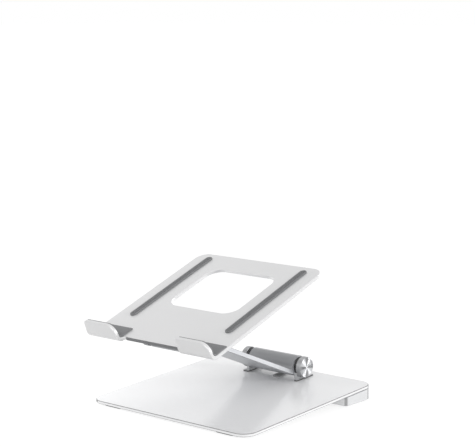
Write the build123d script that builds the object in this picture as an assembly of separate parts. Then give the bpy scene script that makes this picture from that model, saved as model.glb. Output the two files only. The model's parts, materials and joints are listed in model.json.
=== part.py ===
from build123d import *
from math import asin, cos, degrees, radians, sin
import os

# A folding laptop stand: a sloping base plate on a rear riser, a wide flat arm on a friction hinge,
# and a tray with two front hooks on a second friction hinge at the arm's front end.
# Sizes are millimetres and angles are degrees.
# +X is to the right, +Y to the rear and +Z up; the origin is on the table, under the middle of the stand.

# Base plate: "along" is measured up its slope from the front edge, "above" square to its underside
BASE_WIDTH = 230.0
BASE_DEPTH = 222.0
BASE_THICKNESS = 3.5
BASE_CORNER_RADIUS = 16.0
BASE_SLOPE = 3.5
BASE_EDGE_CHAMFER = 0.6

# Rubber feet under the front edge of the base plate
FRONT_FOOT_HEIGHT = 1.0
FRONT_FOOT_LENGTH = 28.0
FRONT_FOOT_WIDTH = 9.0
FRONT_FOOT_FROM_SIDE = 33.0
FRONT_FOOT_FROM_FRONT = 7.5

# Riser: a hollow bar across the rear of the plate, closed below by a cover
RISER_DEPTH = 52.5
RISER_FRONT_CORNER_RADIUS = 5.0
RISER_WALL = 2.5
RISER_ROOF = 2.5
RISER_EDGE_CHAMFER = 0.4
SEAL_THICKNESS = 0.6
SEAL_INSET = 0.7
COVER_THICKNESS = 2.0
COVER_CLEARANCE = 0.2
POST_RADIUS = 4.0
POST_FROM_SIDE = 13.0
POST_FROM_END = 10.5
RISER_SCREW_SPACING = 130.0
REAR_FOOT_HEIGHT = 1.0
REAR_FOOT_LENGTH = 40.0
REAR_FOOT_WIDTH = 12.0
REAR_FOOT_FROM_SIDE = 48.0

# Screws: one metric size, with plain round heads
SCREW_RADIUS = 1.25
SCREW_HEAD_RADIUS = 2.4
SCREW_HEAD_HEIGHT = 1.6
SCREW_CLEARANCE = 0.1
SOCKET_RADIUS = 1.0
SOCKET_DEPTH = 0.9
FOOT_SCREW_LENGTH = 9.0
FOOT_SCREW_SPACING = 13.0
RISER_SCREW_LENGTH = 5.0
COVER_SCREW_LENGTH = 5.0
TRAY_SCREW_LENGTH = 5.0

# Hinges: a stout one at the base and a slimmer one at the tray
BASE_BARREL_RADIUS = 12.0
TRAY_BARREL_RADIUS = 10.0

# Hinge hardware, alike at both ends of the arm, listed from the arm outwards
ARM_WIDTH = 66.4
SHAFT_RADIUS = 4.0
SHAFT_END_CHAMFER = 0.6
RUNNING_CLEARANCE = 0.05
BUSH_WALL = 1.5
BUSH_LENGTH = 12.0
BUSH_FLANGE_RADIUS = 9.0
BUSH_FLANGE_THICKNESS = 0.55
SEAT_CLEARANCE = 0.02
EAR_THICKNESS = 3.8
EAR_EDGE_CHAMFER = 0.4
RING_WIDTH = 3.6
RING_WALL = 1.6
RING_STEP = 0.7
RING_STANDOUT = 0.6
DISC_SPRING_RADIUS = 7.4
DISC_SPRING_THICKNESS = 0.6
DISC_SPRING_STACK = 2.0
NUT_RADIUS = 7.5
NUT_THICKNESS = 2.4
SHAFT_END_GAP = 0.4
CAP_STEP = 0.1
CAP_DEPTH = 6.4
CAP_WALL = 1.4
CAP_FACE = 1.5
CAP_EDGE_CHAMFER = 1.0

# Base hinge: ears that stand on dark foot plates near the rear of the base plate
AXIS_FROM_REAR = 32.4
FOOT_PLATE_THICKNESS = 1.5
FOOT_PLATE_OVERHANG = 5.0
FOOT_PLATE_FRONT = 11.5
FOOT_PLATE_REAR = 19.5
FOOT_PLATE_CORNER_RADIUS = 2.0
BASE_HINGE_CLEARANCE = 1.6
EAR_FOOT_FRONT = 10.0
EAR_FOOT_REAR = 14.0

# Rubber bumper on the plate between the ears, under the arm's barrel
BUMPER_LENGTH = 30.0
BUMPER_WIDTH = 9.0
BUMPER_CLEARANCE = 1.5
BUMPER_BEHIND_AXIS = 4.0
BUMPER_FROM_MIDDLE = 5.0

# Arm: a flat plate from the underside of the lower barrel to the top of the upper barrel
ARM_LENGTH = 176.7
ARM_THICKNESS = 5.0
ARM_ANGLE = 16.975
ARM_ROOT_FILLET = 4.0
ARM_EDGE_CHAMFER = 0.4

# Tray: a bent sheet with two hooks; "reach" is measured along it from the upper hinge axis
TRAY_TILT = 20.0
TRAY_WIDTH = 181.0
TRAY_THICKNESS = 4.0
TRAY_REAR_REACH = 156.5
TRAY_FRONT_REACH = 31.8
TRAY_CORNER_RADIUS = 14.0
TRAY_EDGE_CHAMFER = 0.5
HOOK_REACH = 41.8
HOOK_WIDTH = 46.0
HOOK_HEIGHT = 22.0
HOOK_LEFT_CORNER_RADIUS = 3.0
HOOK_RIGHT_CORNER_RADIUS = 12.5
HOOK_BEND_RADIUS = 5.0
HOOK_ROOT_RADIUS = 3.0
VENT_WIDTH = 96.0
VENT_FRONT_REACH = 42.0
VENT_REAR_REACH = 128.0
VENT_CORNER_RADIUS = 16.0

# Tray ears: brackets under the tray, with a flange that is screwed to it
TRAY_HINGE_CLEARANCE = 1.0
FLANGE_THICKNESS = 2.5
FLANGE_OVERHANG = 11.0
FLANGE_LENGTH = 42.0
FLANGE_CORNER_RADIUS = 4.0
FLANGE_SCREW_SPACING = 32.0
FLANGE_SCREW_FROM_EAR = 5.5
EAR_ROOT_LENGTH = 27.0

# Silicone strips on the tray, and linings inside its hooks
TRAY_STRIP_WIDTH = 9.0
TRAY_STRIP_HEIGHT = 1.6
TRAY_STRIP_FROM_SIDE = 21.0
TRAY_STRIP_FRONT_REACH = 8.0
TRAY_STRIP_REAR_REACH = 148.0
HOOK_LINING_THICKNESS = 1.6
HOOK_LINING_INSET = 0.6
HOOK_LINING_REAR_REACH = 16.0

# Sizes that follow from the ones above
AXIS_ALONG = BASE_DEPTH - AXIS_FROM_REAR
AXIS_ABOVE = BASE_THICKNESS + FOOT_PLATE_THICKNESS + BASE_HINGE_CLEARANCE + BASE_BARREL_RADIUS
BUMPER_HEIGHT = FOOT_PLATE_THICKNESS + BASE_HINGE_CLEARANCE - BUMPER_CLEARANCE
TRAY_OFFSET = TRAY_BARREL_RADIUS + TRAY_HINGE_CLEARANCE + FLANGE_THICKNESS
TRAY_TOP = TRAY_OFFSET + TRAY_THICKNESS
HOOK_TOP = TRAY_OFFSET + HOOK_HEIGHT
RISER_FRONT_ALONG = BASE_DEPTH - RISER_DEPTH

# Places along the hinge axes, from the middle outwards
ARM_END = ARM_WIDTH / 2
EAR_INNER = ARM_END + BUSH_FLANGE_THICKNESS + RUNNING_CLEARANCE
EAR_OUTER = EAR_INNER + EAR_THICKNESS
RING_OUTER = EAR_OUTER + RING_STANDOUT
RING_INNER = RING_OUTER - RING_WIDTH
SPRING_OUTER = EAR_OUTER + DISC_SPRING_STACK
NUT_OUTER = SPRING_OUTER + NUT_THICKNESS
CAP_OUTER = RING_OUTER + CAP_DEPTH
SHAFT_END = CAP_OUTER - CAP_FACE - SHAFT_END_GAP
BUSH_RADIUS = SHAFT_RADIUS + RUNNING_CLEARANCE + BUSH_WALL

# Where the two hinge axes are, with the plate's front edge at y = 0
SLOPE_COS = cos(radians(BASE_SLOPE))
SLOPE_SIN = sin(radians(BASE_SLOPE))
BASE_AXIS_Y = AXIS_ALONG * SLOPE_COS - AXIS_ABOVE * SLOPE_SIN
BASE_AXIS_Z = FRONT_FOOT_HEIGHT + AXIS_ALONG * SLOPE_SIN + AXIS_ABOVE * SLOPE_COS
TRAY_AXIS_Y = BASE_AXIS_Y - ARM_LENGTH * cos(radians(ARM_ANGLE))
TRAY_AXIS_Z = BASE_AXIS_Z + ARM_LENGTH * sin(radians(ARM_ANGLE))

# The stand reaches from the hooks' tips to the rear edge of the base plate
TILT_COS = cos(radians(TRAY_TILT))
TILT_SIN = sin(radians(TRAY_TILT))
FRONT_Y = TRAY_AXIS_Y - HOOK_REACH * TILT_COS - HOOK_TOP * TILT_SIN
REAR_Y = BASE_DEPTH * SLOPE_COS
MIDDLE_Y = (FRONT_Y + REAR_Y) / 2

# Frames of the three bodies and of the table
TABLE = Pos(0, -MIDDLE_Y, 0)
PLATE = Pos(0, -MIDDLE_Y, FRONT_FOOT_HEIGHT) * Rot(BASE_SLOPE, 0, 0)
BASE_HINGE = PLATE * Pos(0, AXIS_ALONG, AXIS_ABOVE)
ARM = Pos(0, BASE_AXIS_Y - MIDDLE_Y, BASE_AXIS_Z) * Rot(-ARM_ANGLE, 0, 0)
ARM_FAR_END = ARM * Pos(0, -ARM_LENGTH, 0)
TRAY = Pos(0, TRAY_AXIS_Y - MIDDLE_Y, TRAY_AXIS_Z) * Rot(TRAY_TILT, 0, 0)

SIDES = (("left", -1), ("right", 1))
SHARP_LIMIT = cos(radians(60))


def rod(radius, start, end):
    """A round bar on the X axis from start to end."""
    return Pos((start + end) / 2, 0, 0) * Rot(0, 90, 0) * Cylinder(radius, end - start)


def post(radius, low, high):
    """A round bar on the Z axis from low to high."""
    return Pos(0, 0, (low + high) / 2) * Cylinder(radius, high - low)


def turned(points):
    """A ring turned about the X axis from a section of (x, radius) points."""
    section = make_face(Polyline(*points, close=True))
    return revolve(section, Axis.X)


def sharp_edges(solid):
    """The edges where two faces of a solid meet at about a right angle."""
    sharp = []
    for edge in solid.edges():
        middle = edge @ 0.5
        normals = [face.normal_at(middle) for face in solid.faces() if edge in face.edges()]
        if len(normals) == 2 and abs(normals[0].dot(normals[1])) < SHARP_LIMIT:
            sharp.append(edge)
    return sharp


def on_side(shape, side):
    """The shape itself on the right, and its mirror image on the left."""
    return shape if side > 0 else mirror(shape, Plane.YZ)


def group(shapes):
    """Separate solids that share one node."""
    return Compound(children=[solid for shape in shapes for solid in shape.solids()])


def screw(length):
    """A socket-head screw along +Z, with the underside of its head at z = 0."""
    shank = post(SCREW_RADIUS, 0, length)
    head = post(SCREW_HEAD_RADIUS, -SCREW_HEAD_HEIGHT, 0)
    socket = extrude(RegularPolygon(SOCKET_RADIUS, 6), SOCKET_DEPTH)
    return shank + head - Pos(0, 0, -SCREW_HEAD_HEIGHT) * socket


def screw_hole(depth):
    """The hole that a screw's shank goes into."""
    return post(SCREW_RADIUS + SCREW_CLEARANCE, 0, depth)


def head_hole():
    """The counterbore that a screw's head lies in, flush with the surface."""
    return post(SCREW_HEAD_RADIUS + SCREW_CLEARANCE, -SCREW_HEAD_HEIGHT, 0)


def below_plate(drop):
    """All the space more than drop under the base plate, in the frame of the table."""
    size = 3 * max(BASE_WIDTH, BASE_DEPTH)
    space = Pos(0, 0, -drop - size / 2) * Box(size, size, size)
    return Pos(0, 0, FRONT_FOOT_HEIGHT) * Rot(BASE_SLOPE, 0, 0) * space


# Places of the screws
FOOT_SCREW_X = (EAR_INNER + EAR_OUTER) / 2
FOOT_SCREWS = [
    Pos(side * FOOT_SCREW_X, AXIS_ALONG + end * FOOT_SCREW_SPACING / 2, SCREW_HEAD_HEIGHT)
    for name, side in SIDES
    for end in (-1, 1)
]
RISER_SCREWS = [
    Pos(side * RISER_SCREW_SPACING / 2, BASE_DEPTH - RISER_DEPTH / 2, -SEAL_THICKNESS - RISER_ROOF)
    for name, side in SIDES
]
COVER_POSTS = [
    Pos(side * (BASE_WIDTH / 2 - POST_FROM_SIDE), along * SLOPE_COS, REAR_FOOT_HEIGHT)
    for name, side in SIDES
    for along in (RISER_FRONT_ALONG + POST_FROM_END, BASE_DEPTH - POST_FROM_END)
]
TRAY_SCREW_X = EAR_OUTER + FLANGE_SCREW_FROM_EAR
TRAY_SCREWS = [
    Pos(side * TRAY_SCREW_X, end * FLANGE_SCREW_SPACING / 2, TRAY_OFFSET - FLANGE_THICKNESS)
    for name, side in SIDES
    for end in (-1, 1)
]


def base_plate():
    outline = RectangleRounded(BASE_WIDTH, BASE_DEPTH, BASE_CORNER_RADIUS)
    plate = Pos(0, BASE_DEPTH / 2, 0) * extrude(outline, BASE_THICKNESS)
    rims = plate.faces().sort_by(Axis.Z)[-1].edges() + plate.faces().sort_by(Axis.Z)[0].edges()
    plate = chamfer(rims, BASE_EDGE_CHAMFER)
    for place in FOOT_SCREWS:
        plate -= place * screw_hole(BASE_THICKNESS)
        plate -= place * head_hole()
    for place in RISER_SCREWS:
        plate -= place * screw_hole(RISER_SCREW_LENGTH + SCREW_CLEARANCE)
    return PLATE * plate


def riser_outline(inset):
    """The riser in plan: small corners at the front, and the plate's own corners at the rear."""
    front = RISER_FRONT_ALONG * SLOPE_COS + inset
    rear = REAR_Y - inset
    half = BASE_WIDTH / 2 - inset
    front_radius = RISER_FRONT_CORNER_RADIUS - inset
    rear_radius = BASE_CORNER_RADIUS - inset
    outline = make_face(Polyline((-half, front), (half, front), (half, rear), (-half, rear), close=True))
    corners = outline.vertices().sort_by(Axis.Y)
    outline = fillet(corners[:2], front_radius)
    return fillet(outline.vertices().sort_by(Axis.Y)[-2:], rear_radius)


def rear_riser():
    height = FRONT_FOOT_HEIGHT + BASE_DEPTH * SLOPE_SIN
    block = Pos(0, 0, REAR_FOOT_HEIGHT) * extrude(riser_outline(0), height)
    block = block & below_plate(SEAL_THICKNESS)
    block = chamfer(block.faces().sort_by(Axis.Z)[0].edges(), RISER_EDGE_CHAMFER)
    hollow = Pos(0, 0, REAR_FOOT_HEIGHT) * extrude(riser_outline(RISER_WALL), height)
    hollow = hollow & below_plate(SEAL_THICKNESS + RISER_ROOF)
    for place in COVER_POSTS:
        hollow -= place * post(POST_RADIUS, COVER_THICKNESS, height)
    riser = block - hollow
    for place in COVER_POSTS:
        riser -= place * Pos(0, 0, SCREW_HEAD_HEIGHT) * screw_hole(COVER_SCREW_LENGTH + SCREW_CLEARANCE)
    tilt = Pos(0, 0, FRONT_FOOT_HEIGHT) * Rot(BASE_SLOPE, 0, 0)
    for place in RISER_SCREWS:
        riser -= tilt * place * screw_hole(RISER_ROOF)
    return TABLE * riser


def riser_seal():
    height = FRONT_FOOT_HEIGHT + BASE_DEPTH * SLOPE_SIN
    sheet = extrude(riser_outline(SEAL_INSET), height) & below_plate(0)
    sheet -= below_plate(SEAL_THICKNESS)
    tilt = Pos(0, 0, FRONT_FOOT_HEIGHT) * Rot(BASE_SLOPE, 0, 0)
    for place in RISER_SCREWS:
        sheet -= tilt * place * screw_hole(RISER_ROOF + SEAL_THICKNESS)
    return TABLE * sheet


def riser_cover():
    cover = Pos(0, 0, REAR_FOOT_HEIGHT) * extrude(riser_outline(RISER_WALL + COVER_CLEARANCE), COVER_THICKNESS)
    for place in COVER_POSTS:
        cover -= place * screw_hole(COVER_THICKNESS)
        cover -= place * Pos(0, 0, SCREW_HEAD_HEIGHT) * head_hole()
    return TABLE * cover


def front_foot(side):
    outline = SlotOverall(FRONT_FOOT_LENGTH, FRONT_FOOT_WIDTH)
    height = FRONT_FOOT_HEIGHT + BASE_DEPTH * SLOPE_SIN
    place = Pos(side * (BASE_WIDTH / 2 - FRONT_FOOT_FROM_SIDE), FRONT_FOOT_FROM_FRONT, 0)
    return TABLE * (place * extrude(outline, height) & below_plate(0))


def rear_foot(side):
    outline = SlotOverall(REAR_FOOT_LENGTH, REAR_FOOT_WIDTH)
    y = (RISER_FRONT_ALONG + BASE_DEPTH) / 2 * SLOPE_COS
    return TABLE * Pos(side * (BASE_WIDTH / 2 - REAR_FOOT_FROM_SIDE), y, 0) * extrude(outline, REAR_FOOT_HEIGHT)


def foot_plate(side):
    width = EAR_THICKNESS + FOOT_PLATE_OVERHANG
    length = FOOT_PLATE_FRONT + FOOT_PLATE_REAR
    outline = RectangleRounded(width, length, FOOT_PLATE_CORNER_RADIUS)
    middle = Pos(EAR_INNER + width / 2, AXIS_ALONG + (FOOT_PLATE_REAR - FOOT_PLATE_FRONT) / 2, BASE_THICKNESS)
    foot = on_side(middle * extrude(outline, FOOT_PLATE_THICKNESS), side)
    for place in FOOT_SCREWS:
        foot -= place * screw_hole(BASE_THICKNESS + FOOT_PLATE_THICKNESS)
    return PLATE * foot


def ear_blank(barrel_radius, height, front, rear):
    """A right-hand ear: round about the hinge axis inside its ring, and straight to a line at its root."""
    head = Circle(barrel_radius - RING_STEP - RING_WALL)
    root = Line((-front, height), (rear, height))
    profile = make_hull(head.edges() + root.edges())
    return extrude(Plane.YZ.offset(EAR_INNER) * profile, EAR_THICKNESS)


def base_ear_blank():
    sole = BASE_THICKNESS + FOOT_PLATE_THICKNESS - AXIS_ABOVE
    return ear_blank(BASE_BARREL_RADIUS, sole, EAR_FOOT_FRONT, EAR_FOOT_REAR)


def tray_ear_blank():
    return ear_blank(TRAY_BARREL_RADIUS, TRAY_OFFSET, EAR_ROOT_LENGTH / 2, EAR_ROOT_LENGTH / 2)


def hinge_foot(side):
    """An upright ear, longer behind the hinge axis than in front of it."""
    ear = base_ear_blank()
    ear = chamfer(ear.faces().sort_by(Axis.X)[-1].edges(), EAR_EDGE_CHAMFER)
    ear -= rod(SHAFT_RADIUS + SEAT_CLEARANCE, EAR_INNER, EAR_OUTER)
    ear = on_side(ear, side)
    ear = Pos(0, AXIS_ALONG, AXIS_ABOVE) * ear
    for place in FOOT_SCREWS:
        ear -= place * screw_hole(FOOT_SCREW_LENGTH + SCREW_CLEARANCE)
    return PLATE * ear


def rest_bumper():
    outline = SlotOverall(BUMPER_LENGTH, BUMPER_WIDTH, rotation=90)
    bumper = extrude(outline, BUMPER_HEIGHT)
    bumper = fillet(bumper.faces().sort_by(Axis.Z)[-1].edges(), BUMPER_HEIGHT / 3)
    return PLATE * Pos(BUMPER_FROM_MIDDLE, AXIS_ALONG + BUMPER_BEHIND_AXIS, BASE_THICKNESS) * bumper


def hinge_shaft():
    shaft = rod(SHAFT_RADIUS, -SHAFT_END, SHAFT_END)
    return chamfer(shaft.edges().filter_by(GeomType.CIRCLE), SHAFT_END_CHAMFER)


def friction_ring(side, barrel_radius, blank):
    """A ring round the ear's head that stands out a little from its face, and is open where the ear passes."""
    outer = barrel_radius - RING_STEP
    ring = rod(outer, RING_INNER, RING_OUTER) - rod(outer - RING_WALL, RING_INNER, RING_OUTER)
    return on_side(ring - blank, side)


def disc_springs():
    """Two coned washers on each side, rim to rim, between the ear and the nut."""
    bore = SHAFT_RADIUS + SCREW_CLEARANCE
    middle = (EAR_OUTER + SPRING_OUTER) / 2
    thickness = DISC_SPRING_THICKNESS
    inner = turned([
        (EAR_OUTER, bore),
        (EAR_OUTER + thickness, bore),
        (middle, DISC_SPRING_RADIUS),
        (middle - thickness, DISC_SPRING_RADIUS),
    ])
    outer = turned([
        (SPRING_OUTER, bore),
        (SPRING_OUTER - thickness, bore),
        (middle, DISC_SPRING_RADIUS),
        (middle + thickness, DISC_SPRING_RADIUS),
    ])
    return group([on_side(washer, side) for washer in (inner, outer) for name, side in SIDES])


def lock_nuts():
    hexagon = extrude(Plane.YZ.offset(SPRING_OUTER) * RegularPolygon(NUT_RADIUS, 6), NUT_THICKNESS)
    nut = hexagon - rod(SHAFT_RADIUS + SEAT_CLEARANCE, SPRING_OUTER, NUT_OUTER)
    return group([on_side(nut, side) for name, side in SIDES])


def hinge_cap(side, barrel_radius):
    """A turned cup over the nut and the end of the shaft."""
    radius = barrel_radius - CAP_STEP
    cup = rod(radius, RING_OUTER, CAP_OUTER)
    cup = chamfer(cup.faces().sort_by(Axis.X)[-1].edges(), CAP_EDGE_CHAMFER)
    cup -= rod(radius - CAP_WALL, RING_OUTER, CAP_OUTER - CAP_FACE)
    return on_side(cup, side)


def bushes():
    """Flanged bushes in both ends of a barrel."""
    bush = rod(BUSH_RADIUS, ARM_END - BUSH_LENGTH, ARM_END)
    bush += rod(BUSH_FLANGE_RADIUS, ARM_END, ARM_END + BUSH_FLANGE_THICKNESS)
    bush -= rod(SHAFT_RADIUS + RUNNING_CLEARANCE, ARM_END - BUSH_LENGTH, EAR_INNER)
    return group([on_side(bush, side) for name, side in SIDES])


def arm():
    """Two barrels joined by a plate that is flush with the bottom of one and the top of the other."""
    drop = BASE_BARREL_RADIUS - ARM_THICKNESS / 2
    rise = TRAY_BARREL_RADIUS - ARM_THICKNESS / 2
    lean = degrees(asin((drop + rise) / ARM_LENGTH))
    run = ARM_LENGTH * cos(radians(lean))
    web = Rot(0, 0, -lean) * Pos(-run / 2, -drop) * Rectangle(run, ARM_THICKNESS)
    profile = Circle(BASE_BARREL_RADIUS) + Pos(-ARM_LENGTH, 0) * Circle(TRAY_BARREL_RADIUS) + web
    solid = extrude(Plane.YZ * profile, ARM_END, both=True)
    roots = solid.edges().filter_by(Axis.X).sort_by(lambda edge: abs(edge.center().Y + ARM_LENGTH / 2))[:2]
    solid = fillet(roots, ARM_ROOT_FILLET)
    ends = solid.faces().sort_by(Axis.X)
    solid = chamfer(ends[0].edges() + ends[-1].edges(), ARM_EDGE_CHAMFER)
    bore = rod(BUSH_RADIUS + SEAT_CLEARANCE, -ARM_END, ARM_END)
    solid -= bore
    solid -= Pos(0, -ARM_LENGTH, 0) * bore
    return ARM * solid


def hook_outline(side, inset):
    """A hook or its lining seen from the front: both hooks have their large round corner on the right."""
    middle = side * (TRAY_WIDTH - HOOK_WIDTH) / 2
    half = HOOK_WIDTH / 2 - inset
    low = TRAY_OFFSET - TRAY_THICKNESS
    high = HOOK_TOP - inset
    outline = make_face(Polyline(
        (middle - half, low), (middle + half, low), (middle + half, high), (middle - half, high), close=True,
    ))
    left_corner = outline.vertices().sort_by_distance((middle - half, high, 0))[0]
    outline = fillet(left_corner, HOOK_LEFT_CORNER_RADIUS - inset)
    right_corner = outline.vertices().sort_by_distance((middle + half, high, 0))[0]
    outline = fillet(right_corner, HOOK_RIGHT_CORNER_RADIUS - inset)
    return extrude(Plane.XZ * outline, 2 * HOOK_REACH, both=True)


def hook(side):
    """A strip bent up from the front of the tray."""
    outer_bend = HOOK_BEND_RADIUS + TRAY_THICKNESS
    front = -HOOK_REACH
    inner = front + TRAY_THICKNESS
    root = -TRAY_FRONT_REACH + HOOK_ROOT_RADIUS
    section = make_face(Polyline(
        (root, TRAY_OFFSET), (front, TRAY_OFFSET), (front, HOOK_TOP),
        (inner, HOOK_TOP), (inner, TRAY_TOP), (root, TRAY_TOP), close=True,
    ))
    outer_corner = section.vertices().sort_by_distance((front, TRAY_OFFSET, 0))[0]
    section = fillet(outer_corner, outer_bend)
    inner_corner = section.vertices().sort_by_distance((inner, TRAY_TOP, 0))[0]
    section = fillet(inner_corner, HOOK_BEND_RADIUS)
    return extrude(Plane.YZ * section, TRAY_WIDTH, both=True) & hook_outline(side, 0)


def tray_plate():
    depth = TRAY_REAR_REACH + TRAY_FRONT_REACH
    middle = (TRAY_REAR_REACH - TRAY_FRONT_REACH) / 2
    outline = Pos(0, middle) * Rectangle(TRAY_WIDTH, depth)
    outline = fillet(outline.vertices().sort_by(Axis.Y)[-2:], TRAY_CORNER_RADIUS)
    vent_depth = VENT_REAR_REACH - VENT_FRONT_REACH
    vent_middle = (VENT_REAR_REACH + VENT_FRONT_REACH) / 2
    outline -= Pos(0, vent_middle) * RectangleRounded(VENT_WIDTH, vent_depth, VENT_CORNER_RADIUS)
    tray = Pos(0, 0, TRAY_OFFSET) * extrude(outline, TRAY_THICKNESS)
    for name, side in SIDES:
        tray += hook(side)
    roots = tray.edges().filter_by(Axis.Z).filter_by(
        lambda edge: abs(edge.center().X) < TRAY_WIDTH / 2 - HOOK_WIDTH / 2
        and abs(edge.center().Y + TRAY_FRONT_REACH) < HOOK_ROOT_RADIUS
    )
    tray = fillet(roots, HOOK_ROOT_RADIUS)
    tray = chamfer(sharp_edges(tray), TRAY_EDGE_CHAMFER)
    for place in TRAY_SCREWS:
        tray -= place * screw_hole(TRAY_SCREW_LENGTH + SCREW_CLEARANCE)
    return TRAY * tray


def tray_ear(side):
    """A bracket under the tray: an ear that hangs round the hinge axis, and an outward flange."""
    top = TRAY_OFFSET - FLANGE_THICKNESS
    width = EAR_THICKNESS + FLANGE_OVERHANG
    flange = RectangleRounded(width, FLANGE_LENGTH, FLANGE_CORNER_RADIUS)
    bracket = tray_ear_blank() + Pos(EAR_INNER + width / 2, 0, top) * extrude(flange, FLANGE_THICKNESS)
    bracket -= rod(SHAFT_RADIUS + SEAT_CLEARANCE, EAR_INNER, EAR_OUTER)
    bracket = on_side(bracket, side)
    for place in TRAY_SCREWS:
        bracket -= place * screw_hole(FLANGE_THICKNESS)
    return TRAY * bracket


def tray_strip(side):
    length = TRAY_STRIP_REAR_REACH - TRAY_STRIP_FRONT_REACH
    middle = (TRAY_STRIP_REAR_REACH + TRAY_STRIP_FRONT_REACH) / 2
    strip = extrude(SlotOverall(length, TRAY_STRIP_WIDTH, rotation=90), TRAY_STRIP_HEIGHT)
    return TRAY * Pos(side * (TRAY_WIDTH / 2 - TRAY_STRIP_FROM_SIDE), middle, TRAY_TOP) * strip


def hook_lining(side):
    """A lining along the inside of a hook and the front of the tray."""
    face = -HOOK_REACH + TRAY_THICKNESS
    rear = -HOOK_LINING_REAR_REACH
    thickness = HOOK_LINING_THICKNESS
    section = make_face(Polyline(
        (rear, TRAY_TOP), (face, TRAY_TOP), (face, HOOK_TOP),
        (face + thickness, HOOK_TOP), (face + thickness, TRAY_TOP + thickness), (rear, TRAY_TOP + thickness), close=True,
    ))
    outer_corner = section.vertices().sort_by_distance((face, TRAY_TOP, 0))[0]
    section = fillet(outer_corner, HOOK_BEND_RADIUS)
    inner_corner = section.vertices().sort_by_distance((face + thickness, TRAY_TOP + thickness, 0))[0]
    section = fillet(inner_corner, HOOK_BEND_RADIUS - thickness)
    return TRAY * (extrude(Plane.YZ * section, TRAY_WIDTH, both=True) & hook_outline(side, HOOK_LINING_INSET))


nodes = {
    "base_plate": base_plate(),
    "rear_riser": rear_riser(),
    "riser_seal": riser_seal(),
    "riser_cover": riser_cover(),
    "riser_screws": PLATE * group([place * screw(RISER_SCREW_LENGTH) for place in RISER_SCREWS]),
    "cover_screws": TABLE * group([
        place * Pos(0, 0, SCREW_HEAD_HEIGHT) * screw(COVER_SCREW_LENGTH) for place in COVER_POSTS
    ]),
    "foot_screws": PLATE * group([place * screw(FOOT_SCREW_LENGTH) for place in FOOT_SCREWS]),
    "rest_bumper": rest_bumper(),
    "arm": arm(),
    "arm_lower_bushes": ARM * bushes(),
    "arm_upper_bushes": ARM_FAR_END * bushes(),
    "tray_plate": tray_plate(),
    "tray_ear_screws": TRAY * group([place * screw(TRAY_SCREW_LENGTH) for place in TRAY_SCREWS]),
}

for name, side in SIDES:
    nodes["front_foot_" + name] = front_foot(side)
    nodes["rear_foot_" + name] = rear_foot(side)
    nodes["foot_plate_" + name] = foot_plate(side)
    nodes["hinge_foot_" + name] = hinge_foot(side)
    nodes["tray_ear_" + name] = tray_ear(side)
    nodes["tray_strip_" + name] = tray_strip(side)
    nodes["hook_lining_" + name] = hook_lining(side)

for hinge, frame, barrel_radius, blank in (
    ("base", BASE_HINGE, BASE_BARREL_RADIUS, base_ear_blank()),
    ("tray", TRAY, TRAY_BARREL_RADIUS, tray_ear_blank()),
):
    nodes[hinge + "_hinge_shaft"] = frame * hinge_shaft()
    nodes[hinge + "_disc_springs"] = frame * disc_springs()
    nodes[hinge + "_lock_nuts"] = frame * lock_nuts()
    for name, side in SIDES:
        nodes[hinge + "_friction_ring_" + name] = frame * friction_ring(side, barrel_radius, blank)
        nodes[hinge + "_hinge_cap_" + name] = frame * hinge_cap(side, barrel_radius)

os.makedirs("parts", exist_ok=True)
for name, shape in nodes.items():
    shape.label = name
    export_step(shape, "parts/" + name + ".step")

print("base hinge axis at y", round(BASE_AXIS_Y - MIDDLE_Y, 3), "z", round(BASE_AXIS_Z, 3))
print("tray hinge axis at y", round(TRAY_AXIS_Y - MIDDLE_Y, 3), "z", round(TRAY_AXIS_Z, 3))
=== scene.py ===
import json
from math import asin, cos, hypot, pi, radians, sin
from typing import NamedTuple

import bmesh
import bpy
from mathutils import Matrix, Vector


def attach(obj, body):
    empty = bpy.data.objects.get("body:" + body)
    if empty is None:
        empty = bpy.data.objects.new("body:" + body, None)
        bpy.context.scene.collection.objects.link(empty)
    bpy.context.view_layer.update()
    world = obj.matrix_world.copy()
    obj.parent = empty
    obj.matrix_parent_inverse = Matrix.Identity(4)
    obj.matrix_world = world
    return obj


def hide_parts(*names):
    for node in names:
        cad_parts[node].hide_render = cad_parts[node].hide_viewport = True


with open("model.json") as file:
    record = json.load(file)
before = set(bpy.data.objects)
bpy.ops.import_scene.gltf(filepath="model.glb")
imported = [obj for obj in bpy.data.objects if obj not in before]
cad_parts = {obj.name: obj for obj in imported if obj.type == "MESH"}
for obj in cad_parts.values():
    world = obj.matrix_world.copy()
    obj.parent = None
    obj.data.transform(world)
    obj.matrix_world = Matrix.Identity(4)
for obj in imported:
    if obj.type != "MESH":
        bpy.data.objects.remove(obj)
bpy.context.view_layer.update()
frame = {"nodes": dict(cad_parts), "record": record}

# A folding laptop stand in satin aluminium. Lengths are metres and angles radians.
# The frame gives every rigid part, and this script finishes their surfaces. It models by hand the turned
# hinge caps, the foot plates, the rubber feet and bumper, the silicone strips and linings, a dark strip on
# the tray's front edge, and the riser's gasket.

MM = 0.001
TINY = 0.01 * MM
X, Y, Z = 0, 1, 2
SIDES = {"left": -1, "right": 1}

# Camera, as the photograph was taken
IMAGE_WIDTH_PX = 475
FOCAL_LENGTH_PX = 1522
SENSOR_WIDTH_MM = 36.0
CAMERA_PLACE = (1.09215, -1.24349, 0.43722)
CAMERA_YAW = radians(40.7517)
CAMERA_PITCH = radians(8.06)

# Studio floor and backdrop
FLOOR_SIZE = 60.0
FLOOR_HEIGHT = -0.1 * MM
FLOOR_BOUNCE = 0.66
FLOOR_SHADE_SHARE = 0.30
FLOOR_GLOW = 0.79
BACKDROP_GLOW = 1.0
AMBIENT_LIGHT = 0.60

# Studio lamps: each has a name, a direction towards it, a strength and an angular size
LAMPS = (
    ("key", (0.40, -0.86, 0.36), 0.75, radians(32)),
    ("back", (0.30, 0.95, 0.06), 1.25, radians(14)),
    ("side", (0.90, 0.30, 0.31), 0.95, radians(14)),
)

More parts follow.
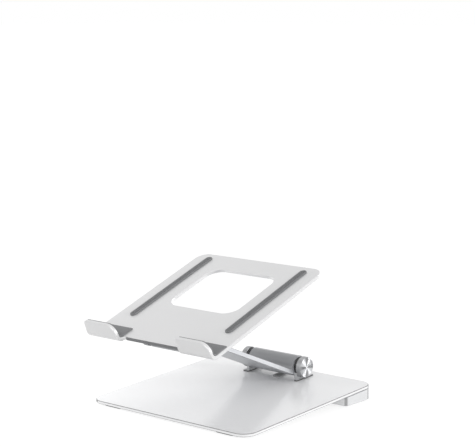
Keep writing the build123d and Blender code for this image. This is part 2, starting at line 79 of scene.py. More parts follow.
# A soft lamp beside the left of the stand
SOFTBOX_PLACE = Vector((-0.38, -0.06, 0.13))
SOFTBOX_AIM = Vector((-0.02, -0.04, 0.0))
SOFTBOX_SIZE = 0.22
SOFTBOX_POWER = 0.75

# The tilted bodies
PLATE_SLOPE = radians(3.5)
ARM_SLOPE = radians(17)
PLATE_FRAME = Matrix.Rotation(PLATE_SLOPE, 4, "X")
PLATE_UP = PLATE_FRAME.to_3x3() @ Vector((0, 0, 1))
ARM_UP = Vector((0, sin(ARM_SLOPE), cos(ARM_SLOPE)))
TRAY_REST = next(mount for mount in frame["record"]["mounts"] if mount["name"] == "laptop_rest")
TRAY_UP = Vector(TRAY_REST["axis"])
TRAY_FRAME = Matrix.Rotation(asin(-TRAY_UP.y), 4, "X")
LEVEL_FRAME = Matrix.Identity(4)


def local_box(node, place):
    """The lowest and highest corners of a node in a tilted frame."""
    turned_back = place.inverted()
    corners = [turned_back @ vertex.co for vertex in frame["nodes"][node].data.vertices]
    low = Vector([min(corner[axis] for corner in corners) for axis in (X, Y, Z)])
    high = Vector([max(corner[axis] for corner in corners) for axis in (X, Y, Z)])
    return low, high


# Materials

# A noise mostly lies between these two values
NOISE_LOW = 0.3
NOISE_HIGH = 0.7
SOFT_DETAIL = 2.0
FINE_DETAIL = 3.0

# Bead-blasted aluminium: fine grain and wide, faint clouds
GRAIN_PER_METRE = 2600.0
GRAIN_SHARE = 0.5
GRAIN_TONE = 0.94
GRAIN_ROUGHNESS = 0.04
GRAIN_DEPTH = 0.02 * MM
GRAIN_STRENGTH = 0.35
ANODISED_CLOUDS_PER_METRE = 9.0
ANODISED_CLOUD_TONE = 0.975

# Painted light and shade: tones painted on faces by the directions that they look along, the blur at
# both ends of a range of facing, and two ends that lie outside 0 to 1 and so leave nothing out
ACROSS = Vector((1, 0, 0))
RIGHT_DIAGONAL = Vector((sin(pi / 4), -cos(pi / 4), 0))
LEFT_DIAGONAL = Vector((sin(pi / 4), cos(pi / 4), 0))
PAINTED_SHADING_BLUR = 0.06
EDGE_ON = -0.2
SQUARE_ON = 1.2

# Turned metal: a painted reflection of bright rays and darker gaps round the hinge axis, on the face of a
# cap alone
CAP_PAINTED_RAYS = 4.0
CAP_PAINTED_RAY_TONE = 1.38
CAP_PAINTED_GAP_TONE = 0.58
CAP_PAINTED_RAY_START = 0.25
CAP_PAINTED_RAY_END = 0.95
CAP_PAINTED_STREAKS = 7.0
CAP_PAINTED_STREAK_SPREAD = 0.5
CAP_FACING_START = 0.80
CAP_FACING_END = 0.92

# Tool marks on turned metal, which stretch its gloss a quarter turn from the round tangent
TOOL_MARKS_PER_METRE = 5200.0
TOOL_MARK_DARK = 0.90
TOOL_MARK_LIGHT = 1.05
TOOL_MARK_ROUGHNESS = 0.05
TOOL_MARK_STRETCH = 0.95
TOOL_MARK_TURN = 0.25

# Plated steel: faint stains, and scratches along the part
STAINS_PER_METRE = 160.0
STAIN_DARK = 0.82
STAIN_LIGHT = 1.08
SCRATCHES_PER_METRE = (200.0, 3200.0, 3200.0)
SCRATCH_SMOOTH = 0.08
SCRATCH_ROUGH = 0.10
SCRATCH_DEPTH = 0.01 * MM
SCRATCH_STRENGTH = 0.4

# Moulded plastic and rubber: the texture of the mould, and soft clouds
MOULD_CLOUDS_PER_METRE = 120.0
MOULD_CLOUD_DARK = 0.85
MOULD_CLOUD_LIGHT = 1.10
MOULD_PIT_SHARE = 0.35
MOULD_PIT_TONE = 0.7
MOULD_ROUGHNESS = 0.07
MOULD_STRENGTH = 0.6


class PaintedShading(NamedTuple):
    """A painted tone of light or shade for faces that look along a direction, from a start to an end of how
    squarely they do.
    """
    direction: Vector
    start: float
    end: float
    tone: float


def shade(colour, factor):
    """A colour made lighter or darker, as a node takes it."""
    return (colour[0] * factor, colour[1] * factor, colour[2] * factor, 1.0)


class Finish:
    """A material being made: its node tree, its shader and its object coordinates."""

    def __init__(self, name, colour, metallic, roughness):
        self.material = bpy.data.materials.new(name)
        self.material.use_nodes = True
        self.tree = self.material.node_tree
        self.shader = self.tree.nodes["Principled BSDF"]
        self.source = self.node("ShaderNodeTexCoord", {})
        self.place = self.source.outputs["Object"]
        self.colour = colour
        self.roughness = roughness
        self.set("Metallic", metallic)
        self.set("Roughness", roughness)

    def feed(self, socket, value):
        """Links a socket to another one, or sets its own number or colour."""
        if isinstance(value, bpy.types.NodeSocket):
            self.tree.links.new(value, socket)
        else:
            socket.default_value = value

    def set(self, name, value):
        """Feeds one of the shader's own sockets."""
        self.feed(self.shader.inputs[name], value)

    def node(self, kind, inputs, **settings):
        """Adds a node with its settings and inputs."""
        node = self.tree.nodes.new(kind)
        for setting, value in settings.items():
            setattr(node, setting, value)
        for name, value in inputs.items():
            self.feed(node.inputs[name], value)
        return node

    def noise(self, scale, detail=SOFT_DETAIL, place=None):
        """A soft noise from 0 to 1, with scale features to the metre."""
        inputs = {"Vector": place or self.place, "Scale": scale, "Detail": detail}
        return self.node("ShaderNodeTexNoise", inputs).outputs["Fac"]

    def span(self, value, low, high, start=NOISE_LOW, end=NOISE_HIGH):
        """Maps a value from start..end to low..high."""
        inputs = {"Value": value, "From Min": start, "From Max": end, "To Min": low, "To Max": high}
        return self.node("ShaderNodeMapRange", inputs).outputs["Result"]

    def mix(self, share, first, second):
        """A colour between two others."""
        inputs = {"Fac": share, "Color1": first, "Color2": second}
        return self.node("ShaderNodeMixRGB", inputs).outputs["Color"]

    def tones(self, share, first, second):
        """The finish's colour, from one tone of it to another."""
        return self.mix(share, shade(self.colour, first), shade(self.colour, second))

    def math(self, operation, first, second=0.0):
        """One sum of two numbers."""
        return self.node("ShaderNodeMath", {0: first, 1: second}, operation=operation).outputs["Value"]

    def vector(self, operation, first, second=(0, 0, 0)):
        """One sum of two vectors."""
        return self.node("ShaderNodeVectorMath", {0: first, 1: second}, operation=operation)

    def facing(self, direction):
        """How squarely a face looks along a direction or against it, from 0 to 1."""
        product = self.vector("DOT_PRODUCT", self.source.outputs["Normal"], tuple(direction))
        return self.math("ABSOLUTE", product.outputs["Value"])

    def roughen(self, noise, less, more):
        """Spreads the roughness about its middle value."""
        self.set("Roughness", self.span(noise, self.roughness - less, self.roughness + more))

    def relief(self, height, depth, strength):
        """Bump of the given depth in metres."""
        bump = self.node("ShaderNodeBump", {"Height": height, "Distance": depth, "Strength": strength})
        self.set("Normal", bump.outputs["Normal"])


def blasted(name, colour, metallic, roughness, gloss, painted_shading=()):
    """Bead-blasted, anodised aluminium, with light or shade painted on some of its faces by the way they
    look.
    """
    finish = Finish(name, colour, metallic, roughness)
    finish.set("Specular IOR Level", gloss)
    grain = finish.noise(GRAIN_PER_METRE, FINE_DETAIL)
    cloud = finish.noise(ANODISED_CLOUDS_PER_METRE)
    tone = finish.tones(cloud, ANODISED_CLOUD_TONE, 1.0)
    tone = finish.mix(finish.span(grain, 0.0, GRAIN_SHARE), tone, shade(colour, GRAIN_TONE))
    # Each painted tone of light or shade makes the faces that look along its direction darker or lighter
    for shading in painted_shading:
        facing = finish.facing(shading.direction)
        rising = finish.span(facing, 0.0, 1.0, shading.start - PAINTED_SHADING_BLUR, shading.start + PAINTED_SHADING_BLUR)
        falling = finish.span(facing, 1.0, 0.0, shading.end - PAINTED_SHADING_BLUR, shading.end + PAINTED_SHADING_BLUR)
        tone = finish.mix(finish.math("MULTIPLY", rising, falling), tone, shade(colour, shading.tone))
    finish.set("Base Color", tone)
    finish.roughen(grain, GRAIN_ROUGHNESS, GRAIN_ROUGHNESS)
    finish.relief(grain, GRAIN_DEPTH, GRAIN_STRENGTH)
    return finish.material


def turned(name, colour, roughness, hinge):
    """Bright turned metal: round tool marks about a hinge's axis spread its gloss into rays, and a
    reflection of bright rays and dark gaps is painted on its face.
    """
    finish = Finish(name, colour, metallic=1.0, roughness=roughness)
    low, high = local_box(hinge + "_hinge_cap_left", LEVEL_FRAME)
    # Painted reflection: the face's colour runs from bright rays to dark gaps round the axis, with painted
    # streaks
    offset = finish.vector("SUBTRACT", finish.place, tuple((low + high) / 2)).outputs["Vector"]
    parts = finish.node("ShaderNodeSeparateXYZ", {"Vector": offset}).outputs
    angle = finish.math("ARCTAN2", parts["Z"], parts["Y"])
    wave = finish.math("COSINE", finish.math("MULTIPLY", angle, CAP_PAINTED_RAYS))
    flat = finish.vector("MULTIPLY", offset, (0, 1, 1)).outputs["Vector"]
    around = finish.vector("NORMALIZE", flat).outputs["Vector"]
    streaks = finish.noise(CAP_PAINTED_STREAKS, SOFT_DETAIL, around)
    wave = finish.math("ADD", wave, finish.span(streaks, -CAP_PAINTED_STREAK_SPREAD, CAP_PAINTED_STREAK_SPREAD))
    gaps = finish.span(wave, 0.0, 1.0, CAP_PAINTED_RAY_START, CAP_PAINTED_RAY_END)
    face = finish.tones(gaps, CAP_PAINTED_RAY_TONE, CAP_PAINTED_GAP_TONE)
    marks = finish.noise(TOOL_MARKS_PER_METRE)
    side = finish.tones(marks, TOOL_MARK_DARK, TOOL_MARK_LIGHT)
    on_face = finish.span(finish.facing(ACROSS), 0.0, 1.0, CAP_FACING_START, CAP_FACING_END)
    finish.set("Base Color", finish.mix(on_face, side, face))
    finish.roughen(marks, TOOL_MARK_ROUGHNESS, TOOL_MARK_ROUGHNESS)
    finish.set("Anisotropic", TOOL_MARK_STRETCH)
    finish.set("Anisotropic Rotation", TOOL_MARK_TURN)
    round_marks = finish.node("ShaderNodeTangent", {}, direction_type="RADIAL", axis="X")
    finish.set("Tangent", round_marks.outputs["Tangent"])
    return finish.material


def plated(name, colour, roughness):
    """Plated steel, with faint cloudy stains and fine scratches along the part."""
    finish = Finish(name, colour, metallic=1.0, roughness=roughness)
    stains = finish.noise(STAINS_PER_METRE, FINE_DETAIL)
    stretched = finish.node("ShaderNodeMapping", {"Vector": finish.place, "Scale": SCRATCHES_PER_METRE})
    scratches = finish.noise(1.0, SOFT_DETAIL, stretched.outputs["Vector"])
    finish.set("Base Color", finish.tones(stains, STAIN_DARK, STAIN_LIGHT))
    finish.roughen(scratches, SCRATCH_SMOOTH, SCRATCH_ROUGH)
    finish.relief(scratches, SCRATCH_DEPTH, SCRATCH_STRENGTH)
    return finish.material


def moulded(name, colour, roughness, pits_per_metre, depth, sheen=0.0):
    """Moulded plastic or rubber, with the fine pits of its mould."""
    finish = Finish(name, colour, metallic=0.0, roughness=roughness)
    pits = finish.noise(pits_per_metre, FINE_DETAIL)
    cloud = finish.noise(MOULD_CLOUDS_PER_METRE)
    tone = finish.tones(cloud, MOULD_CLOUD_DARK, MOULD_CLOUD_LIGHT)
    tone = finish.mix(finish.span(pits, 0.0, MOULD_PIT_SHARE), tone, shade(colour, MOULD_PIT_TONE))
    finish.set("Base Color", tone)
    finish.roughen(pits, MOULD_ROUGHNESS, MOULD_ROUGHNESS)
    finish.set("Sheen Weight", sheen)
    finish.relief(pits, depth, MOULD_STRENGTH)
    return finish.material


HINGE_GREY = (0.46, 0.465, 0.475)
BLACK = (0.030, 0.030, 0.032)

FINISHES = {
    "plate_aluminium": blasted(
        "plate_satin", (0.965, 0.967, 0.975), metallic=0.28, roughness=0.20, gloss=0.0,
        painted_shading=(
            # Painted shade: the chamfers between the top and the edges are painted darker
            PaintedShading(PLATE_UP, start=0.4, end=0.9, tone=0.34),
            # Painted reflection: a dark band on the rounded corners that look along one diagonal
            PaintedShading(LEFT_DIAGONAL, start=0.90, end=SQUARE_ON, tone=0.25),
        ),
    ),
    "riser_aluminium": blasted(
        "riser_satin", (0.80, 0.805, 0.815), metallic=0.55, roughness=0.20, gloss=0.3,
        painted_shading=(
            # Painted reflection: dark bands on the rounded corners that look along both diagonals
            PaintedShading(RIGHT_DIAGONAL, start=0.93, end=SQUARE_ON, tone=0.45),
            PaintedShading(LEFT_DIAGONAL, start=0.88, end=SQUARE_ON, tone=0.20),
        ),
    ),
    "tray_aluminium": blasted(
        "tray_satin", (0.80, 0.80, 0.805), metallic=0.30, roughness=0.38, gloss=0.3,
    ),
    "arm_aluminium": blasted(
        "arm_satin", (0.30, 0.305, 0.315), metallic=0.40, roughness=0.36, gloss=0.3,
        painted_shading=(
            # Painted light: the arm's top and underside, with the barrel's top and bottom, are painted
            # lighter, and its side faces much lighter
            PaintedShading(ARM_UP, start=0.93, end=SQUARE_ON, tone=1.6),
            PaintedShading(ACROSS, start=0.9, end=SQUARE_ON, tone=2.4),
        ),
    ),
    "hinge_metal": blasted("hinge_satin", HINGE_GREY, metallic=0.40, roughness=0.36, gloss=0.3),
    "turned_cap": turned("turned_base_face", HINGE_GREY, roughness=0.46, hinge="base"),
    "turned_tray_cap": turned("turned_tray_face", HINGE_GREY, roughness=0.46, hinge="tray"),
    "steel": plated("bright_steel", (0.60, 0.60, 0.60), roughness=0.30),
    "dark_steel": blasted(
        "grey_lacquer", (0.45, 0.455, 0.46), metallic=0.30, roughness=0.40, gloss=0.3,
        # Painted shade: the edges and sides of the foot plates are painted dark
        painted_shading=(PaintedShading(PLATE_UP, start=EDGE_ON, end=0.6, tone=0.22),),
    ),
    "black_ring": moulded(
        "black_nylon", BLACK, roughness=0.45, pits_per_metre=2200.0, depth=0.02 * MM,
    ),
    "bush_plastic": moulded(
        "dark_nylon", (0.12, 0.12, 0.12), roughness=0.45, pits_per_metre=1800.0, depth=0.01 * MM,
    ),
    "cover_plastic": moulded(
        "grey_cover", (0.55, 0.56, 0.57), roughness=0.55, pits_per_metre=1500.0, depth=0.05 * MM,
    ),
    "seal": moulded(
        "foam_gasket", (0.40, 0.40, 0.41), roughness=0.80, pits_per_metre=1400.0, depth=0.08 * MM,
    ),
    "rubber": moulded(
        "grey_rubber", (0.32, 0.32, 0.325), roughness=0.65, pits_per_metre=1700.0, depth=0.04 * MM,
        sheen=0.1,
    ),
    "foot_rubber": moulded(
        "black_rubber", BLACK, roughness=0.65, pits_per_metre=1700.0, depth=0.04 * MM,
        sheen=0.05,
    ),
    "silicone": moulded(
        "grey_silicone", (0.20, 0.203, 0.21), roughness=0.58, pits_per_metre=2000.0, depth=0.02 * MM,
        sheen=0.15,
    ),
}


# Modelling by hand

# Angles up to which edges look smooth and from which they are bevelled, and how squarely a flat face looks
# along an axis
SMOOTH_ANGLE = radians(35)
SHARP_ANGLE = radians(50)
FLAT = 0.9
QUAD_SIDES = 4

# Steps in a rounded edge, rim or corner
EDGE_STEPS = 3
RIM_STEPS = 4
SMALL_CORNER_STEPS = 8
LARGE_CORNER_STEPS = 12


def deselect():
    """Leaves nothing selected in object mode."""
    bpy.ops.object.select_all(action="DESELECT")


def choose(piece):
    """Makes one piece the only selected and the active one."""
    deselect()
    bpy.context.view_layer.objects.active = piece
    piece.select_set(True)


def edit(piece):
    """Opens one piece in edit mode with nothing selected."""
    choose(piece)
    bpy.ops.object.mode_set(mode="EDIT")
    bpy.ops.mesh.select_all(action="DESELECT")


def new_piece(name):
    """Names the primitive just added, puts its place and turn into its mesh, and opens it in edit mode."""
    piece = bpy.context.object
    piece.name = name
    piece.data.name = name
    bpy.ops.object.transform_apply(location=True, rotation=True, scale=True)
    edit(piece)
    return piece


def close():
    """Leaves edit mode."""
    bpy.ops.object.mode_set(mode="OBJECT")


def pick(piece, kind, wanted):
    """Selects the vertices, edges or faces of the open piece that a test accepts, and nothing else."""
    bpy.ops.mesh.select_mode(type={"verts": "VERT", "edges": "EDGE", "faces": "FACE"}[kind])
    bpy.ops.mesh.select_all(action="DESELECT")
    shape = bmesh.from_edit_mesh(piece.data)
    shape.normal_update()
    for item in getattr(shape, kind):
        item.select_set(bool(wanted(item)))
    shape.select_flush_mode()
    bmesh.update_edit_mesh(piece.data)


def edge_at(axis, place):
    """A test for the edges that lie at one place on an axis."""
    return lambda edge: all(abs(vertex.co[axis] - place) < TINY for vertex in edge.verts)


def end_face(axis, towards):
    """A test for the flat face of many sides that looks forwards or backwards along an axis."""
    return lambda face: len(face.verts) > QUAD_SIDES and face.normal[axis] * towards > FLAT


def extrude(step):
    """Pulls the selected faces or edges out by a step."""
    bpy.ops.mesh.extrude_region_move(TRANSFORM_OT_translate={"value": step})


def apply_modifier(piece, kind, **settings):
    """Adds a modifier and applies it at once."""
    choose(piece)
    modifier = piece.modifiers.new(kind.lower(), kind)
    for setting, value in settings.items():
        setattr(modifier, setting, value)
    bpy.ops.object.modifier_apply(modifier=modifier.name)


def complete(piece, place, body, slot, node=None, finish=None):
    """Settles a piece in its place, and gives it its finish, its body and any node that it stands for."""
    choose(piece)
    piece.matrix_world = place
    bpy.ops.object.transform_apply(location=True, rotation=True, scale=True)
    bpy.ops.object.shade_smooth_by_angle(angle=SMOOTH_ANGLE)
    piece.data.materials.clear()
    piece.data.materials.append(FINISHES[finish or slot])
    if node:
        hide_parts(node)
    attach(piece, body)
    deselect()


# Turned caps: a bevelled rim, a groove inside it, and fine round tool marks to the middle

CAP_SEGMENTS = 128
CAP_RIM_BEVEL = 0.8 * MM
CAP_BORDER = 0.7 * MM
CAP_GROOVE = 0.3 * MM
CAP_GROOVE_DEPTH = 0.25 * MM
CAP_MARK_PITCH = 0.5 * MM
CAP_MARK_DEPTH = 0.06 * MM
CAP_MIDDLE = 0.8 * MM
CAP_WALL = 1.4 * MM
CAP_FACE = 1.5 * MM


def turned_cap(node, body, side, finish):
    """A cup turned from bar: hollow towards the hinge, with its turned face outwards."""
    low, high = local_box(node, LEVEL_FRAME)
    radius = (high.z - low.z) / 2
    depth = high.x - low.x
    deselect()
    bpy.ops.mesh.primitive_cylinder_add(
        vertices=CAP_SEGMENTS, radius=radius, depth=depth,
        location=(low + high) / 2, rotation=(0, side * pi / 2, 0),
    )
    cap = new_piece("turned_" + node)
    pick(cap, "edges", edge_at(X, high.x if side > 0 else low.x))
    bpy.ops.mesh.bevel(offset=CAP_RIM_BEVEL, segments=EDGE_STEPS)
    pick(cap, "faces", end_face(X, side))
    bpy.ops.mesh.inset(thickness=CAP_BORDER, depth=0)
    bpy.ops.mesh.inset(thickness=CAP_GROOVE, depth=-CAP_GROOVE_DEPTH)
    bpy.ops.mesh.inset(thickness=CAP_GROOVE, depth=CAP_GROOVE_DEPTH)
    face_radius = radius - CAP_RIM_BEVEL - CAP_BORDER - 2 * CAP_GROOVE
    for mark in range(int((face_radius - CAP_MIDDLE) / CAP_MARK_PITCH)):
        bpy.ops.mesh.inset(thickness=CAP_MARK_PITCH / 2, depth=-CAP_MARK_DEPTH)
        bpy.ops.mesh.inset(thickness=CAP_MARK_PITCH / 2, depth=CAP_MARK_DEPTH)
    bpy.ops.mesh.inset(thickness=CAP_MIDDLE / 2, depth=-CAP_GROOVE_DEPTH)
    pick(cap, "faces", end_face(X, -side))
    bpy.ops.mesh.inset(thickness=CAP_WALL, depth=0)
    extrude((side * (depth - CAP_FACE), 0, 0))
    close()
    complete(cap, LEVEL_FRAME, body, "turned_cap", node, finish)


# Rubber feet, bumper and silicone strips: round ends, soft rims and grooved faces

class Grooved(NamedTuple):
    """A face with a soft rim, a plain border inside it, and a number of even grooves."""
    rim: float
    border: float
    grooves: int
    depth: float


END_SEGMENTS = 48
FOOT_LIP = 1.2 * MM
FOOT_SOLE = Grooved(rim=0.25 * MM, border=0.9 * MM, grooves=9, depth=0.3 * MM)
BUMPER_TOP = Grooved(rim=0.5 * MM, border=1.0 * MM, grooves=4, depth=0.3 * MM)
STRIP_TOP = Grooved(rim=0.45 * MM, border=0.8 * MM, grooves=3, depth=0.45 * MM)


def crosswise(along):
    """The other one of the X and Y axes."""
    return Y if along == X else X


def round_ended(name, low, high, along):
    """A block with two round ends, its length on the X or Y axis, from a stretched cylinder."""
    middle = (low + high) / 2
    width = (high - low)[crosswise(along)]
    stretch = (high[along] - low[along] - width) / 2
    deselect()
    bpy.ops.mesh.primitive_cylinder_add(
        vertices=END_SEGMENTS, radius=width / 2, depth=high.z - low.z,
        location=middle, rotation=(0, 0, pi / END_SEGMENTS),
    )
    pad = new_piece(name)
    for end in (-1, 1):
        pick(pad, "verts", lambda vertex: (vertex.co[along] - middle[along]) * end > 0)
        step = Vector((0, 0, 0))
        step[along] = end * stretch
        bpy.ops.transform.translate(value=step)
    return pad


def soften(piece, height, rim):
    """Rounds the rim of the open piece at one height."""
    pick(piece, "edges", edge_at(Z, height))
    bpy.ops.mesh.bevel(offset=rim, segments=RIM_STEPS)


def groove(pad, low, high, along, across, facing, style):
    """Softens the face of a pad that looks up or down, and cuts grooves into it side by side on an axis."""
    middle = (low + high) / 2
    face_height = high.z if facing > 0 else low.z
    aside = crosswise(along)
    half_width = (high[aside] - low[aside]) / 2
    stretch = (high[along] - low[along]) / 2 - half_width
    reach = half_width - style.rim - style.border

    def on_face(face):
        """Whether a face lies inside the border of the grooved face."""
        for vertex in face.verts:
            beyond = max(abs(vertex.co[along] - middle[along]) - stretch, 0)
            if hypot(beyond, vertex.co[aside] - middle[aside]) > reach + TINY:
                return False
            if abs(vertex.co.z - face_height) > TINY:
                return False
        return True

    soften(pad, face_height, style.rim)
    pick(pad, "faces", end_face(Z, facing))
    bpy.ops.mesh.inset(thickness=style.border, depth=0)
    half = reach + (stretch if across == along else 0)
    pitch = 2 * half / (2 * style.grooves + 1)
    normal = Vector((0, 0, 0))
    normal[across] = 1
    for cut in range(1, 2 * style.grooves + 1):
        pick(pad, "faces", on_face)
        point = middle.copy()
        point[across] += cut * pitch - half
        bpy.ops.mesh.bisect(plane_co=point, plane_no=normal)

    def in_groove(face):
        """Whether a face is one of the strips to be sunk."""
        offset = face.calc_center_median()[across] - middle[across] + half
        return on_face(face) and int(offset / pitch) % 2 == 1

    pick(pad, "faces", in_groove)
    extrude((0, 0, -facing * style.depth))


def rubber_foot(node, front):
    """A rubber foot. A front one has a small lip, and is cut to the slope of the plate above it."""
    low, high = local_box(node, LEVEL_FRAME)
    if front:
        low.y -= FOOT_LIP
    foot = round_ended("rubber_" + node, low, high, X)
    if front:
        bpy.ops.mesh.select_all(action="SELECT")
        bpy.ops.mesh.bisect(
            plane_co=(0, high.y, high.z), plane_no=PLATE_UP, use_fill=True, clear_outer=True,
        )
    groove(foot, low, high, X, X, -1, FOOT_SOLE)
    close()
    complete(foot, LEVEL_FRAME, "base", "rubber", node, "foot_rubber")


def rest_bumper(node):
    """A low rubber bumper on the plate between the ears, grooved across."""
    low, high = local_box(node, PLATE_FRAME)
    bumper = round_ended("rubber_" + node, low, high, Y)
    groove(bumper, low, high, Y, Y, 1, BUMPER_TOP)
    close()
    complete(bumper, PLATE_FRAME, "base", "rubber", node)


def tray_strip(node):
    """A silicone strip with long grooves, on top of the tray."""
    low, high = local_box(node, TRAY_FRAME)
    strip = round_ended("silicone_" + node, low, high, Y)
    groove(strip, low, high, Y, X, 1, STRIP_TOP)
    close()
    complete(strip, TRAY_FRAME, "tray", "silicone", node)


# Foot plates under the ears, where the right one ends close to the outer face of its ear, and the edging on
# the tray's front edge, which lies a step behind the front of the hooks

FOOT_PLATE_TRIM = {"left": 0.0, "right": 4.0 * MM}
FOOT_PLATE_CORNER = 1.8 * MM
FOOT_PLATE_RIM = 0.25 * MM
EDGING_LENGTH = 82.0 * MM
EDGING_HEIGHT = 3.6 * MM
EDGING_THICKNESS = 0.7 * MM
EDGING_RIM = 0.3 * MM
TRAY_THICKNESS = 4.0 * MM
HOOK_STEP = 10.0 * MM


def plain_block(name, low, high):
    """A plain block from its lowest to its highest corner, open in edit mode to be shaped."""
    deselect()
    bpy.ops.mesh.primitive_cube_add(size=1, location=(low + high) / 2, scale=high - low)
    return new_piece(name)


def foot_plate(node, trim):
    """A thin steel plate under an ear, with round corners and a soft rim."""
    low, high = local_box(node, PLATE_FRAME)
    high.x -= trim
    plate = plain_block("steel_" + node, low, high)
    pick(plate, "edges", lambda edge: abs(edge.verts[0].co.z - edge.verts[1].co.z) > TINY)
    bpy.ops.mesh.bevel(offset=FOOT_PLATE_CORNER, segments=SMALL_CORNER_STEPS)
    soften(plate, high.z, FOOT_PLATE_RIM)
    close()
    complete(plate, PLATE_FRAME, "base", "dark_steel", node)


def front_edging():
    """A thin dark grey strip on the front edge of the tray, from one hook to the other."""
    tray_low = local_box("tray_plate", TRAY_FRAME)[0]
    rear = tray_low.y + HOOK_STEP
    bottom = tray_low.z + (TRAY_THICKNESS - EDGING_HEIGHT) / 2
    low = Vector((-EDGING_LENGTH / 2, rear - EDGING_THICKNESS, bottom))
    high = Vector((EDGING_LENGTH / 2, rear, bottom + EDGING_HEIGHT))
    edging = plain_block("silicone_front_edging", low, high)
    pick(edging, "edges", edge_at(Y, low.y))
    bpy.ops.mesh.bevel(offset=EDGING_RIM, segments=EDGE_STEPS)
    close()
    complete(edging, TRAY_FRAME, "tray", "silicone")


# Sheets: the linings of the hooks, each bent once, and the gasket between the riser and the plate

LINING_THICKNESS = 1.6 * MM
LINING_BEND = 5.0 * MM
LINING_BEND_STEPS = 8
LINING_LEFT_CORNER = 2.4 * MM
LINING_RIGHT_CORNER = 11.9 * MM
LINING_EDGE = 0.4 * MM
GASKET_FRONT_CORNER = 4.3 * MM
GASKET_REAR_CORNER = 15.3 * MM
GASKET_EDGE = 0.15 * MM
GASKET_EDGE_STEPS = 2


def flat_sheet(name, low, high):
    """A flat sheet with no thickness at the height of its lowest corner, open in edit mode."""
    deselect()
    middle = (low + high) / 2
    bpy.ops.mesh.primitive_plane_add(size=1, location=(middle.x, middle.y, low.z))
    bpy.context.object.scale = (high.x - low.x, high.y - low.y, 1)
    return new_piece(name)


def round_corners(sheet, corners, radius, steps):
    """Rounds the corners of the open sheet that lie at the given points."""
    pick(sheet, "verts", lambda vertex: any((vertex.co - corner).length < TINY for corner in corners))
    bpy.ops.mesh.bevel(affect="VERTICES", offset=radius, segments=steps)


def thicken(sheet, thickness, side, edge, steps):
    """Gives a sheet its thickness, along its normals or against them, and softens its edges."""
    apply_modifier(sheet, "SOLIDIFY", thickness=thickness, offset=side)
    apply_modifier(
        sheet, "BEVEL", width=edge, segments=steps, limit_method="ANGLE", angle_limit=SHARP_ANGLE,
    )


def hook_lining(node):
    """A silicone sheet that lies on the tray's front, bends up and lines the inside of a hook."""
    low, high = local_box(node, TRAY_FRAME)
    bend_start = low.y + LINING_BEND
    lining = flat_sheet("silicone_" + node, Vector((low.x, bend_start, low.z)), high)
    pick(lining, "edges", edge_at(Y, bend_start))
    turn = pi / 2 / LINING_BEND_STEPS
    for step in range(LINING_BEND_STEPS):
        along = LINING_BEND * (sin(turn * step) - sin(turn * (step + 1)))
        rise = LINING_BEND * (cos(turn * step) - cos(turn * (step + 1)))
        extrude((0, along, rise))
    extrude((0, 0, high.z - low.z - LINING_BEND))
    for x, radius in ((low.x, LINING_LEFT_CORNER), (high.x, LINING_RIGHT_CORNER)):
        round_corners(lining, [Vector((x, low.y, high.z))], radius, LARGE_CORNER_STEPS)
    bpy.ops.mesh.select_all(action="SELECT")
    bpy.ops.mesh.normals_make_consistent(inside=False)
    close()
    upward = lining.data.polygons[0].normal.z > 0
    thicken(lining, LINING_THICKNESS, 1.0 if upward else -1.0, LINING_EDGE, EDGE_STEPS)
    complete(lining, TRAY_FRAME, "tray", "silicone", node)


def riser_gasket(node):
    """A thin foam sheet between the riser and the plate."""
    low, high = local_box(node, PLATE_FRAME)
    front_corners = [Vector((x, low.y, low.z)) for x in (low.x, high.x)]
    rear_corners = [Vector((x, high.y, low.z)) for x in (low.x, high.x)]
    gasket = flat_sheet("foam_" + node, low, high)
    round_corners(gasket, front_corners, GASKET_FRONT_CORNER, SMALL_CORNER_STEPS)
    round_corners(gasket, rear_corners, GASKET_REAR_CORNER, LARGE_CORNER_STEPS)
    close()
    thicken(gasket, high.z - low.z, 1.0, GASKET_EDGE, GASKET_EDGE_STEPS)
    complete(gasket, PLATE_FRAME, "base", "seal", node)


# Camera, floor, world and lamps

def stand_camera():
    """A camera with no roll, at the photograph's viewing angle."""
    data = bpy.data.cameras.new("camera")
    data.sensor_width = SENSOR_WIDTH_MM
    data.sensor_fit = "HORIZONTAL"
    data.lens = SENSOR_WIDTH_MM * FOCAL_LENGTH_PX / IMAGE_WIDTH_PX
    camera = bpy.data.objects.new("camera", data)
    camera.location = CAMERA_PLACE
    camera.rotation_euler = (pi / 2 - CAMERA_PITCH, 0, CAMERA_YAW)
    bpy.context.scene.collection.objects.link(camera)
    bpy.context.scene.camera = camera


def grey(level):
    """A grey as a node takes it."""
    return (level, level, level, 1.0)


def seen_share(tree):
    """1 for rays that show the background itself or its image in metal or glass, and 0 for light."""
    path = tree.nodes.new("ShaderNodeLightPath")
    share = path.outputs["Is Camera Ray"]
    for kind in ("Is Glossy Ray", "Is Transmission Ray"):
        either = tree.nodes.new("ShaderNodeMath")
        either.operation = "MAXIMUM"
        tree.links.new(share, either.inputs[0])
        tree.links.new(path.outputs[kind], either.inputs[1])
        share = either.outputs["Value"]
    return share


def show_or_light(tree, lighting, seen, output):
    """Lets one shader light the stand, and shows another where the background is seen."""
    choice = tree.nodes.new("ShaderNodeMixShader")
    tree.links.new(seen_share(tree), choice.inputs["Fac"])
    tree.links.new(lighting, choice.inputs[1])
    tree.links.new(seen, choice.inputs[2])
    tree.links.new(choice.outputs["Shader"], tree.nodes[output].inputs["Surface"])


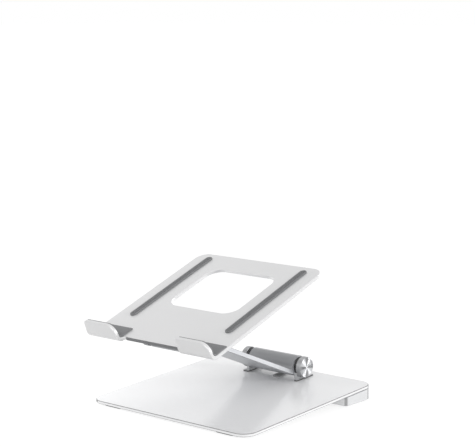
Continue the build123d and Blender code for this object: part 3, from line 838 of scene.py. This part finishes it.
def lay_floor():
    """A pale floor: white where it is seen, with the stand's shadow, and a dimmer bounce."""
    deselect()
    bpy.ops.mesh.primitive_plane_add(size=FLOOR_SIZE, location=(0, 0, FLOOR_HEIGHT))
    floor = bpy.context.object
    floor.name = "studio_floor"
    material = bpy.data.materials.new("studio_floor")
    material.use_nodes = True
    tree = material.node_tree
    tree.nodes.remove(tree.nodes["Principled BSDF"])
    bounce = tree.nodes.new("ShaderNodeBsdfDiffuse")
    bounce.inputs["Color"].default_value = grey(FLOOR_BOUNCE)
    shaded = tree.nodes.new("ShaderNodeBsdfDiffuse")
    shaded.inputs["Color"].default_value = grey(FLOOR_SHADE_SHARE)
    glow = tree.nodes.new("ShaderNodeEmission")
    glow.inputs["Strength"].default_value = FLOOR_GLOW
    seen = tree.nodes.new("ShaderNodeAddShader")
    tree.links.new(shaded.outputs["BSDF"], seen.inputs[0])
    tree.links.new(glow.outputs["Emission"], seen.inputs[1])
    show_or_light(tree, bounce.outputs["BSDF"], seen.outputs["Shader"], "Material Output")
    floor.data.materials.append(material)


def light_world():
    """A white backdrop all round, and a dimmer, even light from it."""
    world = bpy.data.worlds.new("studio")
    world.use_nodes = True
    tree = world.node_tree
    ambient = tree.nodes["Background"]
    ambient.inputs["Color"].default_value = grey(1.0)
    ambient.inputs["Strength"].default_value = AMBIENT_LIGHT
    backdrop = tree.nodes.new("ShaderNodeBackground")
    backdrop.inputs["Color"].default_value = grey(1.0)
    backdrop.inputs["Strength"].default_value = BACKDROP_GLOW
    show_or_light(tree, ambient.outputs["Background"], backdrop.outputs["Background"], "World Output")
    bpy.context.scene.world = world


def aim(lamp, towards):
    """Turns a lamp so that its light comes from a direction, and adds it to the scene."""
    lamp.rotation_euler = towards.to_track_quat("Z", "Y").to_euler()
    bpy.context.scene.collection.objects.link(lamp)


def hang_lamp(name, towards, strength, size):
    """A far lamp with a soft edge to its shadows."""
    data = bpy.data.lights.new(name, "SUN")
    data.energy = strength
    data.angle = size
    aim(bpy.data.objects.new(name, data), Vector(towards))


def hang_softbox():
    """A large soft lamp beside the left of the stand, which the camera doesn't see."""
    data = bpy.data.lights.new("softbox", "AREA")
    data.size = SOFTBOX_SIZE
    data.energy = SOFTBOX_POWER
    softbox = bpy.data.objects.new("softbox", data)
    softbox.location = SOFTBOX_PLACE
    softbox.visible_camera = False
    softbox.visible_glossy = False
    aim(softbox, SOFTBOX_PLACE - SOFTBOX_AIM)


# The stand

for node in frame["nodes"].values():
    for held in node.material_slots:
        held.material = FINISHES[held.material.name.split(".")[0]]

for name, side in SIDES.items():
    turned_cap("base_hinge_cap_" + name, "base", side, "turned_cap")
    turned_cap("tray_hinge_cap_" + name, "tray", side, "turned_tray_cap")

for name in SIDES:
    rubber_foot("front_foot_" + name, front=True)
    foot_plate("foot_plate_" + name, FOOT_PLATE_TRIM[name])
    rubber_foot("rear_foot_" + name, front=False)
    tray_strip("tray_strip_" + name)
    hook_lining("hook_lining_" + name)

front_edging()
rest_bumper("rest_bumper")
riser_gasket("riser_seal")

# The studio

stand_camera()
lay_floor()
light_world()
for lamp in LAMPS:
    hang_lamp(*lamp)
hang_softbox()
bpy.context.scene.view_settings.view_transform = "Standard"
